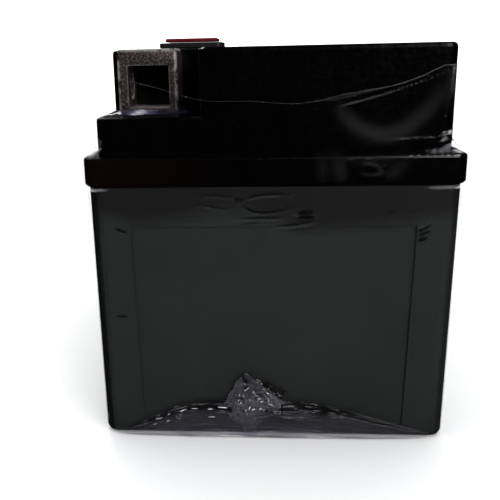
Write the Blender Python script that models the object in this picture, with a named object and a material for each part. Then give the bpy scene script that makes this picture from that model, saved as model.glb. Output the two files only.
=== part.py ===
"""Sealed lead-acid motorcycle battery, 12 V, six cells, in its clear shrink film.

Frame: origin at the middle of the base, +X along the length towards the negative
terminal, front with both terminals at -Y, +Z up. Metres.
"""

import math

import bmesh
import bpy
from mathutils import Matrix, Vector

for old in list(bpy.data.objects):
    bpy.data.objects.remove(old, do_unlink=True)

MM = 0.001

# Driving dimensions, millimetres
LENGTH = 150.0
WIDTH = 87.0
HEIGHT = 94.0
GAP = 0.3

FLANGE_LOW = 63.6
FLANGE_TOP = 70.2
FLANGE_RADIUS = 3.5

CASE_HALF_X = 74.1
CASE_HALF_Y = 42.6
CASE_TAPER = 0.4
CASE_RADIUS = 3.2
CASE_TOP = 63.3
CASE_FLOOR = 3.0
PANEL_DEPTH = 0.5
PANEL_HALF_Y = 33.2
PANEL_HALF_X = 64.0
PANEL_TOP = 54.0

CELLS = 6
CELL_PITCH = 24.0
PARTITION = 1.6
CELL_HALF_X = (CELL_PITCH - PARTITION) / 2
CELL_HALF_Y = 39.7

TIER_HALF_X = 72.0
TIER_HALF_Y = 40.5
TIER_TOP = 79.0
TIER_RADIUS = 3.0
BLOCK_FRONT = -16.3
MIDDLE_HALF_X = 48.5
LID_WALL = 2.5

SLOT_HALF_X = 68.0
SLOT_FRONT = 2.0
SLOT_BACK = 21.0
SLOT_FLOOR = 91.2
FILL_Y = 11.5
FILL_RADIUS = 5.2
FILL_UNDER = 83.5

TERMINAL_X = 55.0
TERMINAL_Y = -29.5
TERMINAL_DEPTH = 12.0
TERMINAL_WIDTH = 14.4
TERMINAL_BASE = TIER_TOP + GAP
TERMINAL_POCKET = 9.9
TERMINAL_POCKET_Y = TERMINAL_Y + 0.25
TERMINAL_POCKET_Z = 85.3
BOLT_HOLE_RADIUS = 3.2
POST_RADIUS = 3.5
POST_X = 56.0
SEAL_INNER = 3.85
SEAL_OUTER = 5.7
SEAL_BORE = 6.0

STRIP_LOW = SLOT_FLOOR + GAP
PLUG_RADIUS = 4.5
PLUG_LOW = 84.6
PLUG_BORE = 3.0
GROOVE_RADIUS = 3.95
GROOVE_LOW = 86.9
GROOVE_TOP = 88.3
RING_RADIUS = 4.55
RING_THICK = 0.38

CAP_X = -TERMINAL_X - 0.5
CAP_PLATE_THICK = 2.5
CAP_SKIRT_LOW = 85.0
CAP_THICK = 1.3

PLATES_NEGATIVE = 5
PLATES_POSITIVE = 4
NEGATIVE_THICK = 1.3
POSITIVE_THICK = 1.5
PLATE_GAP = 1.1
PLATE_HALF_Y = 36.5
PLATE_LOW = 4.6
PLATE_TOP = 52.0
MAT_THICK = 0.5
MAT_LOW = 4.0
MAT_TOP = 54.0
STRAP_LOW = 57.0
STRAP_TOP = 60.4
STRAP_Y = 27.5
WELD_Z = 58.4
WELD_RADIUS = 2.4

FILM_THICK = 0.1
FILM_GAP = 0.15
FILM_CORNER = 89.0
FILM_SAG_ENDS = 7.0
FILM_SAG_SIDES = 5.0
TAB_Y = -4.6
TAB_Z = 9.2
TAB_REACH = 7.2


def paint(name, color, roughness, metallic=0.0, alpha=1.0):
    """Make one material with its own colour."""
    mat = bpy.data.materials.new(name)
    mat.use_nodes = True
    shader = mat.node_tree.nodes["Principled BSDF"]
    shader.inputs["Base Color"].default_value = (*color, 1.0)
    shader.inputs["Roughness"].default_value = roughness
    shader.inputs["Metallic"].default_value = metallic
    shader.inputs["Alpha"].default_value = alpha
    mat.diffuse_color = (*color, alpha)
    return mat


CASE_PLASTIC = paint("case_plastic", (0.022, 0.025, 0.024), 0.45)
LID_PLASTIC = paint("lid_plastic", (0.008, 0.008, 0.009), 0.25)
STRIP_PLASTIC = paint("strip_plastic", (0.012, 0.012, 0.013), 0.35)
RING_RUBBER = paint("ring_rubber", (0.03, 0.03, 0.03), 0.8)
VALVE_RUBBER = paint("valve_rubber", (0.05, 0.045, 0.04), 0.75)
SEAL_RUBBER = paint("seal_rubber", (0.02, 0.02, 0.02), 0.7)
TERMINAL_LEAD = paint("terminal_lead", (0.16, 0.13, 0.13), 0.5, 0.8)
POST_LEAD = paint("post_lead", (0.22, 0.22, 0.24), 0.5, 0.9)
POSITIVE_PASTE = paint("positive_paste", (0.12, 0.045, 0.03), 0.9)
NEGATIVE_PASTE = paint("negative_paste", (0.18, 0.19, 0.20), 0.7)
GLASS_MAT = paint("glass_mat", (0.85, 0.85, 0.82), 0.95)
CAP_RED = paint("cap_red", (0.42, 0.005, 0.02), 0.4)
CAP_DARK = paint("cap_dark", (0.01, 0.01, 0.01), 0.5)
FILM_CLEAR = paint("film_clear", (0.8, 0.82, 0.85), 0.1, 0.0, 0.25)


def place(name, bm, mat, smooth=False):
    """Turn a bmesh in millimetres into a named object in metres."""
    bmesh.ops.scale(bm, vec=Vector((MM, MM, MM)), verts=bm.verts)
    bmesh.ops.recalc_face_normals(bm, faces=bm.faces)
    if bm.calc_volume(signed=True) < 0:
        bmesh.ops.reverse_faces(bm, faces=bm.faces)
    for face in bm.faces:
        face.smooth = smooth
    mesh = bpy.data.meshes.new(name)
    bm.to_mesh(mesh)
    bm.free()
    mesh.materials.append(mat)
    obj = bpy.data.objects.new(name, mesh)
    bpy.context.scene.collection.objects.link(obj)
    return obj


def outline(corners, radii, grow=0.0, steps=4):
    """Closed outline from counter-clockwise corners, each rounded, grown outwards."""
    points = []
    total = len(corners)
    for i in range(total):
        here = Vector(corners[i])
        back = (Vector(corners[i - 1]) - here).normalized()
        ahead = (Vector(corners[(i + 1) % total]) - here).normalized()
        turn = (-back).cross(ahead)
        inwards = (back + ahead).normalized()
        half = math.acos(max(-1.0, min(1.0, back.dot(ahead)))) / 2
        radius = max(radii[i], 0.01)
        centre = here + inwards * (radius / math.sin(half))
        start = here + back * (radius / math.tan(half)) - centre
        end = here + ahead * (radius / math.tan(half)) - centre
        swept = radius + grow if turn > 0 else radius - grow
        first = math.atan2(start.y, start.x)
        sweep = math.atan2(end.y, end.x) - first
        while sweep > math.pi:
            sweep -= 2 * math.pi
        while sweep < -math.pi:
            sweep += 2 * math.pi
        for k in range(steps + 1):
            angle = first + sweep * k / steps
            step = Vector((math.cos(angle), math.sin(angle))) * max(swept, 0.02)
            points.append(centre + step)
    return points


def rectangle(half_x, half_y, middle_x=0.0, middle_y=0.0):
    """Four counter-clockwise corners."""
    return [
        (middle_x - half_x, middle_y - half_y),
        (middle_x + half_x, middle_y - half_y),
        (middle_x + half_x, middle_y + half_y),
        (middle_x - half_x, middle_y + half_y),
    ]


def stack(rings):
    """Close a stack of outlines, each a height and its points, into one solid."""
    bm = bmesh.new()
    loops = []
    for height, points in rings:
        loops.append([bm.verts.new((p[0], p[1], height)) for p in points])
    for low, high in zip(loops, loops[1:]):
        count = len(low)
        for i in range(count):
            j = (i + 1) % count
            bm.faces.new((low[i], low[j], high[j], high[i]))
    bm.faces.new(list(reversed(loops[0])))
    bm.faces.new(loops[-1])
    return bm


def slab(corners, radii, low, high, foot=0.0, crown=0.0, steps=4):
    """Prism on a rounded outline, with a bevelled foot and crown."""
    rings = []
    if foot > 0:
        rings.append((low, outline(corners, radii, -foot, steps)))
        rings.append((low + foot, outline(corners, radii, 0.0, steps)))
    else:
        rings.append((low, outline(corners, radii, 0.0, steps)))
    if crown > 0:
        rings.append((high - crown, outline(corners, radii, 0.0, steps)))
        middle = crown * 0.7
        rings.append((high - crown + middle, outline(corners, radii, middle - crown, steps)))
        rings.append((high, outline(corners, radii, -crown, steps)))
    else:
        rings.append((high, outline(corners, radii, 0.0, steps)))
    return stack(rings)


def box(x0, x1, y0, y1, z0, z1):
    """Plain box between two corners."""
    return stack([
        (z0, [(x0, y0), (x1, y0), (x1, y1), (x0, y1)]),
        (z1, [(x0, y0), (x1, y0), (x1, y1), (x0, y1)]),
    ])


def circle(x, y, radius, count=24):
    """Points round a circle."""
    turn = 2 * math.pi / count
    return [
        (x + radius * math.cos(k * turn), y + radius * math.sin(k * turn))
        for k in range(count)
    ]


def rod(x, y, radius, z0, z1, count=24):
    """Upright round bar."""
    return stack([(z0, circle(x, y, radius, count)), (z1, circle(x, y, radius, count))])


def lying(bm, axis, centre):
    """Turn an upright bar round the origin to lie along an axis, then move it."""
    turn = Matrix.Rotation(math.pi / 2, 4, "Y" if axis == "X" else "X")
    bmesh.ops.transform(bm, matrix=turn, verts=bm.verts)
    bmesh.ops.translate(bm, vec=Vector(centre), verts=bm.verts)
    return bm


def revolve(profile, x, y, count=20):
    """Turn a closed ring-shaped profile of (radius, height) round a vertical line."""
    bm = bmesh.new()
    columns = []
    for k in range(count):
        angle = 2 * math.pi * k / count
        c = math.cos(angle)
        s = math.sin(angle)
        columns.append([bm.verts.new((x + r * c, y + r * s, z)) for r, z in profile])
    rows = len(profile)
    for k in range(count):
        here = columns[k]
        there = columns[(k + 1) % count]
        for i in range(rows):
            j = (i + 1) % rows
            bm.faces.new((here[i], there[i], there[j], here[j]))
    return bm


def combine(target, others, operation):
    """Join or cut a list of bmeshes with a target object, then clear them away."""
    for other in others:
        tool = place("tool", other, target.data.materials[0])
        tool.display_type = "WIRE"
        tool.hide_render = True
        step = target.modifiers.new("step", "BOOLEAN")
        step.operation = operation
        step.solver = "EXACT"
        step.object = tool
        bpy.context.view_layer.update()
        graph = bpy.context.evaluated_depsgraph_get()
        shaped = bpy.data.meshes.new_from_object(target.evaluated_get(graph))
        target.modifiers.remove(step)
        previous = target.data
        target.data = shaped
        bpy.data.meshes.remove(previous)
        bpy.data.objects.remove(tool, do_unlink=True)


def neaten(obj, smooth_angle=None):
    """Weld stray points, drop flat extra edges and settle the shading."""
    bm = bmesh.new()
    bm.from_mesh(obj.data)
    bmesh.ops.remove_doubles(bm, verts=bm.verts, dist=0.000002)
    bmesh.ops.dissolve_limit(
        bm, angle_limit=0.002, verts=bm.verts, edges=bm.edges, delimit={"NORMAL"}
    )
    bmesh.ops.triangulate(bm, faces=bm.faces)
    bmesh.ops.recalc_face_normals(bm, faces=bm.faces)
    for face in bm.faces:
        face.smooth = smooth_angle is not None
    if smooth_angle is not None:
        for edge in bm.edges:
            edge.smooth = edge.calc_face_angle(0.0) < smooth_angle
    bm.to_mesh(obj.data)
    bm.free()


def settle_origin(obj, x, y, z):
    """Put the origin of a moving piece on the line it slides along."""
    point = Vector((x, y, z)) * MM
    obj.data.transform(Matrix.Translation(-point))
    obj.location = point


SHARP = math.radians(35)
CELL_X = [CELL_PITCH * (2.5 - i) for i in range(CELLS)]

# Case: tapered container with a rounded foot, open above, six cells.
FOOT = 1.2
foot_corners = rectangle(CASE_HALF_X - CASE_TAPER, CASE_HALF_Y - CASE_TAPER)
top_corners = rectangle(CASE_HALF_X, CASE_HALF_Y)
case_radii = [CASE_RADIUS] * 4
case = place(
    "case",
    stack([
        (0.0, outline(foot_corners, case_radii, -FOOT, 5)),
        (FOOT * 0.35, outline(foot_corners, case_radii, -FOOT * 0.35, 5)),
        (FOOT, outline(foot_corners, case_radii, 0.0, 5)),
        (CASE_TOP, outline(top_corners, case_radii, 0.0, 5)),
    ]),
    CASE_PLASTIC,
)
cell_cuts = []
for x in CELL_X:
    cell_cuts.append(slab(
        rectangle(CELL_HALF_X, CELL_HALF_Y, x),
        [1.0] * 4,
        CASE_FLOOR,
        CASE_TOP + 5,
        steps=2,
    ))
combine(case, cell_cuts, "DIFFERENCE")
panel_cuts = []
for side in (-1, 1):
    foot_face = CASE_HALF_X - CASE_TAPER
    rings = []
    for z in (-1.0, PANEL_TOP):
        share = max(z, 0.0) / CASE_TOP
        face = foot_face + CASE_TAPER * share - PANEL_DEPTH
        near, far = sorted((side * face, side * (face + 4)))
        half = PANEL_HALF_Y - 1.2 * (1 - share)
        rings.append((z, [(near, -half), (far, -half), (far, half), (near, half)]))
    panel_cuts.append(stack(rings))
    foot_face = CASE_HALF_Y - CASE_TAPER
    rings = []
    for z in (-1.0, PANEL_TOP):
        share = max(z, 0.0) / CASE_TOP
        face = foot_face + CASE_TAPER * share - PANEL_DEPTH
        near, far = sorted((side * face, side * (face + 4)))
        half = PANEL_HALF_X - 1.2 * (1 - share)
        rings.append((z, [(-half, near), (half, near), (half, far), (-half, far)]))
    panel_cuts.append(stack(rings))
combine(case, panel_cuts, "DIFFERENCE")
weld_bores = []
for i in range(CELLS - 1):
    x = (CELL_X[i] + CELL_X[i + 1]) / 2
    y = STRAP_Y if i % 2 == 0 else -STRAP_Y
    weld_bores.append(
        lying(rod(0, 0, WELD_RADIUS + GAP, -2, 2, 16), "X", (x, y, WELD_Z))
    )
combine(case, weld_bores, "DIFFERENCE")
neaten(case, SHARP)

# Lid: flange, tier and raised block with two front corners left open.
lid = place(
    "lid",
    slab(
        rectangle(LENGTH / 2, WIDTH / 2),
        [FLANGE_RADIUS] * 4,
        FLANGE_LOW,
        FLANGE_TOP,
        foot=0.5,
        crown=0.6,
        steps=5,
    ),
    LID_PLASTIC,
)
tier = slab(
    rectangle(TIER_HALF_X, TIER_HALF_Y),
    [TIER_RADIUS] * 4,
    FLANGE_LOW + 2,
    TIER_TOP,
    crown=0.7,
    steps=5,
)
raised = [
    (-TIER_HALF_X, BLOCK_FRONT),
    (-MIDDLE_HALF_X, BLOCK_FRONT),
    (-MIDDLE_HALF_X, -TIER_HALF_Y),
    (MIDDLE_HALF_X, -TIER_HALF_Y),
    (MIDDLE_HALF_X, BLOCK_FRONT),
    (TIER_HALF_X, BLOCK_FRONT),
    (TIER_HALF_X, TIER_HALF_Y),
    (-TIER_HALF_X, TIER_HALF_Y),
]
raised_radii = [1.6, 2.0, 2.0, 2.0, 2.0, 1.6, TIER_RADIUS, TIER_RADIUS]
block = slab(raised, raised_radii, FLANGE_LOW + 3, HEIGHT, crown=1.0, steps=4)
combine(lid, [tier, block], "UNION")
hollows = []
for x in CELL_X:
    hollows.append(box(
        x - CELL_HALF_X + 0.4,
        x + CELL_HALF_X - 0.4,
        -37.6,
        37.6,
        FLANGE_LOW - 1,
        TIER_TOP - LID_WALL,
    ))
    hollows.append(box(
        max(x - CELL_HALF_X + 0.8, LID_WALL - TIER_HALF_X),
        min(x + CELL_HALF_X - 0.8, TIER_HALF_X - LID_WALL),
        BLOCK_FRONT + LID_WALL + 0.5,
        37.2,
        TIER_TOP - LID_WALL - 1,
        FILL_UNDER,
    ))
    if abs(x) < MIDDLE_HALF_X:
        hollows.append(box(
            max(x - CELL_HALF_X + 0.8, LID_WALL - MIDDLE_HALF_X),
            min(x + CELL_HALF_X - 0.8, MIDDLE_HALF_X - LID_WALL),
            LID_WALL - TIER_HALF_Y + 0.8,
            BLOCK_FRONT + LID_WALL + 1.0,
            TIER_TOP - LID_WALL - 1,
            HEIGHT - LID_WALL,
        ))
combine(lid, hollows, "DIFFERENCE")
slot = slab(
    rectangle(SLOT_HALF_X, (SLOT_BACK - SLOT_FRONT) / 2, 0.0, FILL_Y),
    [1.5] * 4,
    SLOT_FLOOR,
    HEIGHT + 3,
    steps=3,
)
bores = [slot]
for x in CELL_X:
    bores.append(rod(x, FILL_Y, FILL_RADIUS, FILL_UNDER - 2, HEIGHT + 2, 20))
for side in (-1, 1):
    bores.append(rod(side * POST_X, TERMINAL_Y, SEAL_BORE, FLANGE_TOP + 2, TIER_TOP + 1, 24))
combine(lid, bores, "DIFFERENCE")
neaten(lid, SHARP)

# Cap strip: flush plate with six plugs, each hollow from below for its valve.
strip = place(
    "cap_strip",
    slab(
        rectangle(SLOT_HALF_X - GAP, (SLOT_BACK - SLOT_FRONT) / 2 - GAP, 0.0, FILL_Y),
        [1.3] * 4,
        STRIP_LOW,
        HEIGHT,
        crown=0.4,
        steps=3,
    ),
    STRIP_PLASTIC,
)
plugs = []
pockets = []
for x in CELL_X:
    plugs.append(rod(x, FILL_Y, PLUG_RADIUS, PLUG_LOW, STRIP_LOW + 1, 20))
    pockets.append(rod(x, FILL_Y, PLUG_BORE, PLUG_LOW - 1, STRIP_LOW - 0.6, 20))
combine(strip, plugs, "UNION")
grooves = []
for x in CELL_X:
    groove = [
        (GROOVE_RADIUS, GROOVE_LOW),
        (PLUG_RADIUS + 1, GROOVE_LOW),
        (PLUG_RADIUS + 1, GROOVE_TOP),
        (GROOVE_RADIUS, GROOVE_TOP),
    ]
    grooves.append(revolve(groove, x, FILL_Y, 20))
combine(strip, grooves, "DIFFERENCE")
combine(strip, pockets, "DIFFERENCE")
marks = []
for x in CELL_X:
    for side in (-1, 1):
        middle = x + side * 6.0
        marks.append(box(
            middle - 0.5, middle + 0.5, FILL_Y - 3.5, FILL_Y + 3.5, HEIGHT - 0.6, HEIGHT + 1
        ))
combine(strip, marks, "DIFFERENCE")
neaten(strip, SHARP)
settle_origin(strip, 0.0, FILL_Y, SLOT_FLOOR)

# A sealing ring in the groove of each plug and a cup valve inside it.
ring_z = (GROOVE_LOW + GROOVE_TOP) / 2
ring_profile = circle(RING_RADIUS, ring_z, RING_THICK, 6)
for i, x in enumerate(CELL_X):
    ring = place(f"seal_ring_{i + 1}", revolve(ring_profile, x, FILL_Y), RING_RUBBER, True)
    settle_origin(ring, x, FILL_Y, ring_z)
    cup = [
        (2.6, 86.0),
        (2.6, 89.9),
        (0.6, 90.3),
        (0.6, 89.3),
        (1.7, 89.1),
        (1.7, 86.0),
    ]
    valve = place(f"valve_cup_{i + 1}", revolve(cup, x, FILL_Y, 16), VALVE_RUBBER, True)
    settle_origin(valve, x, FILL_Y, 86.0)

# Terminals: square lead blocks open from end to end, with a bolt hole above and in front.
for name, side in (("negative_terminal", 1), ("positive_terminal", -1)):
    x = side * TERMINAL_X
    half = TERMINAL_DEPTH / 2
    terminal = place(
        name,
        slab(
            rectangle(half, TERMINAL_WIDTH / 2, x, TERMINAL_Y),
            [0.8] * 4,
            TERMINAL_BASE,
            HEIGHT,
            foot=0.4,
            crown=1.2,
            steps=3,
        ),
        TERMINAL_LEAD,
    )
    front = TERMINAL_Y - TERMINAL_WIDTH / 2
    hollow = rectangle(TERMINAL_POCKET / 2, TERMINAL_POCKET / 2)
    pocket = slab(hollow, [0.35] * 4, -half - 1, half + 1, steps=2)
    pocket = lying(pocket, "X", (x, TERMINAL_POCKET_Y, TERMINAL_POCKET_Z))
    bolt_above = rod(x, TERMINAL_POCKET_Y, BOLT_HOLE_RADIUS, 89.5, HEIGHT + 1, 20)
    bolt_front = rod(0, 0, BOLT_HOLE_RADIUS, -2.5, 2.5, 20)
    bolt_front = lying(bolt_front, "Y", (x, front + 1.0, TERMINAL_POCKET_Z))
    combine(terminal, [pocket, bolt_above, bolt_front], "DIFFERENCE")
    neaten(terminal, SHARP)

for name, side in (("negative", 1), ("positive", -1)):
    x = side * POST_X
    place(
        f"{name}_post",
        stack([
            (STRAP_TOP + GAP, circle(x, TERMINAL_Y, POST_RADIUS + 0.8)),
            (STRAP_TOP + GAP + 1.5, circle(x, TERMINAL_Y, POST_RADIUS + 0.8)),
            (STRAP_TOP + GAP + 3.0, circle(x, TERMINAL_Y, POST_RADIUS)),
            (TIER_TOP, circle(x, TERMINAL_Y, POST_RADIUS)),
        ]),
        POST_LEAD,
        True,
    )
    place(
        f"{name}_post_seal",
        revolve(
            [
                (SEAL_INNER, TIER_TOP - LID_WALL + 0.1),
                (SEAL_OUTER, TIER_TOP - LID_WALL + 0.1),
                (SEAL_OUTER, TIER_TOP - 0.1),
                (SEAL_INNER, TIER_TOP - 0.1),
            ],
            x,
            TERMINAL_Y,
            24,
        ),
        SEAL_RUBBER,
        True,
    )

# Red cap over the positive terminal, on a dark plate. The cap lifts off upwards.
PLATE_LOW_Z = HEIGHT + GAP
PLATE_HIGH_Z = PLATE_LOW_Z + CAP_PLATE_THICK
cap_plate = place(
    "cap_base_plate",
    slab(
        rectangle(10.0, 12.0, CAP_X, TERMINAL_Y),
        [2.0] * 4,
        PLATE_LOW_Z,
        PLATE_HIGH_Z,
        foot=0.9,
        crown=0.3,
        steps=3,
    ),
    CAP_DARK,
)
skirt = slab(
    rectangle(7.4, 9.2, CAP_X - 0.5, TERMINAL_Y),
    [1.5] * 4,
    CAP_SKIRT_LOW,
    PLATE_LOW_Z + 1,
    steps=3,
)
skirt_room = box(
    -TERMINAL_X - TERMINAL_DEPTH / 2 - GAP,
    -TERMINAL_X + TERMINAL_DEPTH,
    TERMINAL_Y - TERMINAL_WIDTH / 2 - GAP,
    TERMINAL_Y + TERMINAL_WIDTH / 2 + GAP,
    CAP_SKIRT_LOW - 1,
    PLATE_LOW_Z,
)
skirt_side = box(
    -TERMINAL_X + TERMINAL_DEPTH / 2 - 0.5,
    -TERMINAL_X + TERMINAL_DEPTH,
    TERMINAL_Y - 12,
    TERMINAL_Y + 12,
    CAP_SKIRT_LOW - 1,
    PLATE_LOW_Z,
)
combine(cap_plate, [skirt], "UNION")
combine(cap_plate, [skirt_room, skirt_side], "DIFFERENCE")
neaten(cap_plate, SHARP)
red_cap = place(
    "positive_cap",
    slab(
        rectangle(8.5, 10.0, CAP_X, TERMINAL_Y),
        [2.2] * 4,
        PLATE_HIGH_Z + GAP,
        PLATE_HIGH_Z + GAP + CAP_THICK,
        foot=0.2,
        crown=0.5,
        steps=4,
    ),
    CAP_RED,
    False,
)
settle_origin(cap_plate, -TERMINAL_X, TERMINAL_Y, HEIGHT)
settle_origin(red_cap, -TERMINAL_X, TERMINAL_Y, HEIGHT)


def plate_places():
    """Middle of each plate in a cell with its thickness, negative plates outermost."""
    total = PLATES_NEGATIVE * NEGATIVE_THICK
    total += PLATES_POSITIVE * POSITIVE_THICK
    total += (PLATES_NEGATIVE + PLATES_POSITIVE - 1) * PLATE_GAP
    at = -total / 2
    found = []
    for k in range(PLATES_NEGATIVE + PLATES_POSITIVE):
        thick = NEGATIVE_THICK if k % 2 == 0 else POSITIVE_THICK
        found.append((at + thick / 2, thick, k % 2 == 1))
        at += thick + PLATE_GAP
    return found


PLATES = plate_places()


def plate_group(name, cell_x, positive, strap_y, tab_side, mat):
    """Plates of one polarity with their lugs, the strap and its welding tab."""
    chosen = [p for p in PLATES if p[2] == positive]
    reach = chosen[-1][0] + chosen[-1][1] / 2
    strap_ends = [-reach, reach]
    if tab_side > 0:
        strap_ends[1] = 10.7
    if tab_side < 0:
        strap_ends[0] = -10.7
    group = place(
        name,
        box(
            cell_x + strap_ends[0],
            cell_x + strap_ends[1],
            strap_y - 4.5,
            strap_y + 4.5,
            STRAP_LOW,
            STRAP_TOP,
        ),
        mat,
    )
    pieces = []
    for middle, thick, _ in chosen:
        x0 = cell_x + middle - thick / 2
        x1 = cell_x + middle + thick / 2
        pieces.append(stack([
            (PLATE_LOW, [(x0, -PLATE_HALF_Y), (x1, -PLATE_HALF_Y),
                         (x1, PLATE_HALF_Y), (x0, PLATE_HALF_Y)]),
            (PLATE_TOP, [(x0, -PLATE_HALF_Y), (x1, -PLATE_HALF_Y),
                         (x1, PLATE_HALF_Y), (x0, PLATE_HALF_Y)]),
        ]))
        pieces.append(box(
            x0 + 0.1, x1 - 0.1, strap_y - 4.0, strap_y + 4.0, PLATE_TOP - 1, STRAP_LOW + 1
        ))
    if tab_side:
        inner, outer = sorted((tab_side * 8.6, tab_side * 10.7))
        pieces.append(box(
            cell_x + inner,
            cell_x + outer,
            strap_y - 3.8,
            strap_y + 3.8,
            STRAP_LOW - 1.6,
            STRAP_TOP + 1.4,
        ))
    combine(group, pieces, "UNION")
    neaten(group)
    return group


def folded_mat(name, cell_x):
    """One glass mat folded back and forth between the plates."""
    half = MAT_THICK / 2
    reach = PLATE_HALF_Y + 0.5 + half
    path = []
    side = -1
    for first, second in zip(PLATES, PLATES[1:]):
        left = first[0] + first[1] / 2
        right = second[0] - second[1] / 2
        x = cell_x + (left + right) / 2
        path.append(Vector((x, side * reach)))
        path.append(Vector((x, -side * reach)))
        side = -side
    one_side = []
    other_side = []
    for k, point in enumerate(path):
        before = (point - path[k - 1]).normalized() if k > 0 else None
        after = (path[k + 1] - point).normalized() if k + 1 < len(path) else None
        shift = Vector((0.0, 0.0))
        for way in (before, after):
            if way is not None:
                shift += Vector((-way.y, way.x)) * half
        one_side.append(point + shift)
        other_side.append(point - shift)
    points = one_side + other_side[::-1]
    return place(name, stack([(MAT_LOW, points), (MAT_TOP, points)]), GLASS_MAT)


for i, x in enumerate(CELL_X):
    number = i + 1
    negative_y = -STRAP_Y if i % 2 == 0 else STRAP_Y
    first = i == 0
    last = i == CELLS - 1
    plate_group(
        f"cell_{number}_negative_plates",
        x,
        False,
        TERMINAL_Y if first else negative_y,
        0 if first else 1,
        NEGATIVE_PASTE,
    )
    plate_group(
        f"cell_{number}_positive_plates",
        x,
        True,
        TERMINAL_Y if last else -negative_y,
        0 if last else -1,
        POSITIVE_PASTE,
    )
    mat_body = folded_mat(f"cell_{number}_glass_mat", x)
    neaten(mat_body)
    if not last:
        wall_x = x - CELL_PITCH / 2
        y = -negative_y
        place(
            f"cell_weld_{number}_{number + 1}",
            lying(rod(0, 0, WELD_RADIUS, -0.95, 0.95, 16), "X", (wall_x, y, WELD_Z)),
            POST_LEAD,
            False,
        )

# Shrink film: a thin sleeve from the foot to a wavy free edge round the upper lid.

def film_edge(x, y):
    """Height of the free edge of the film round the lid, lowest at mid side."""
    on_end = abs(x) > TIER_HALF_X - 1
    across = y / TIER_HALF_Y if on_end else x / TIER_HALF_X
    sag = FILM_SAG_ENDS if on_end else FILM_SAG_SIDES
    return FILM_CORNER - sag * (1 - min(1.0, abs(across)) ** 2)


def film_ring(half_x, half_y, radius, height, grow):
    """Points of one ring of the film, with extra points along each side."""
    rounded = outline(rectangle(half_x, half_y), [radius] * 4, grow, 4)
    ring = []
    for k, point in enumerate(rounded):
        ring.append(point)
        follow = rounded[(k + 1) % len(rounded)]
        if (follow - point).length > 20:
            for share in range(1, 8):
                ring.append(point.lerp(follow, share / 8))
    if height is None:
        return [(p.x, p.y, film_edge(p.x, p.y)) for p in ring]
    return [(p.x, p.y, height) for p in ring]


FILM_LEVELS = (
    (CASE_HALF_X - CASE_TAPER, CASE_HALF_Y - CASE_TAPER, CASE_RADIUS, 1.3),
    (CASE_HALF_X, CASE_HALF_Y, CASE_RADIUS, 62.0),
    (LENGTH / 2, WIDTH / 2, FLANGE_RADIUS, FLANGE_LOW + 0.2),
    (LENGTH / 2, WIDTH / 2, FLANGE_RADIUS, FLANGE_TOP + 0.1),
    (TIER_HALF_X + 0.35, TIER_HALF_Y + 0.35, TIER_RADIUS + 0.3, FLANGE_TOP + 4.6),
    (TIER_HALF_X + 0.25, TIER_HALF_Y + 0.25, TIER_RADIUS + 0.3, None),
)
bm = bmesh.new()
film_rows = []
for grow in (FILM_GAP, FILM_GAP + FILM_THICK):
    for half_x, half_y, radius, height in FILM_LEVELS:
        ring = film_ring(half_x, half_y, radius, height, grow)
        film_rows.append([bm.verts.new(p) for p in ring])
levels = len(FILM_LEVELS)
order = list(range(levels)) + list(range(2 * levels - 1, levels - 1, -1))
for k in range(2 * levels):
    near = film_rows[order[k]]
    far = film_rows[order[(k + 1) % (2 * levels)]]
    for i in range(len(near)):
        j = (i + 1) % len(near)
        bm.faces.new((near[i], near[j], far[j], far[i]))
place("shrink_film", bm, FILM_CLEAR, False)

# Gathered tab of film low on the near end.
bm = bmesh.new()
tab_face = CASE_HALF_X - CASE_TAPER + FILM_GAP + FILM_THICK + GAP
rim = []
for k in range(20):
    angle = 2 * math.pi * k / 20
    reach = TAB_REACH * (1.0 + 0.1 * math.cos(4 * angle) + 0.05 * math.sin(7 * angle))
    rim.append((TAB_Y + reach * math.cos(angle), TAB_Z + reach * math.sin(angle)))
back = [bm.verts.new((tab_face, y, z)) for y, z in rim]
front = [bm.verts.new((tab_face + 0.25, y, z)) for y, z in rim]
inner = [
    bm.verts.new((
        tab_face + 0.5 + 0.25 * math.sin(2.2 * k),
        TAB_Y + (y - TAB_Y) * 0.55,
        TAB_Z + (z - TAB_Z) * 0.55,
    ))
    for k, (y, z) in enumerate(rim)
]
peak = bm.verts.new((tab_face + 0.75, TAB_Y, TAB_Z))
for i in range(20):
    j = (i + 1) % 20
    bm.faces.new((back[i], back[j], front[j], front[i]))
    bm.faces.new((front[i], front[j], inner[j], inner[i]))
    bm.faces.new((inner[i], inner[j], peak))
bm.faces.new(list(reversed(back)))
place("film_tab", bm, FILM_CLEAR, False)
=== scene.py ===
import math
import random

import bmesh
import bpy
import numpy as np
from mathutils import Matrix, Vector, noise


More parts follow.
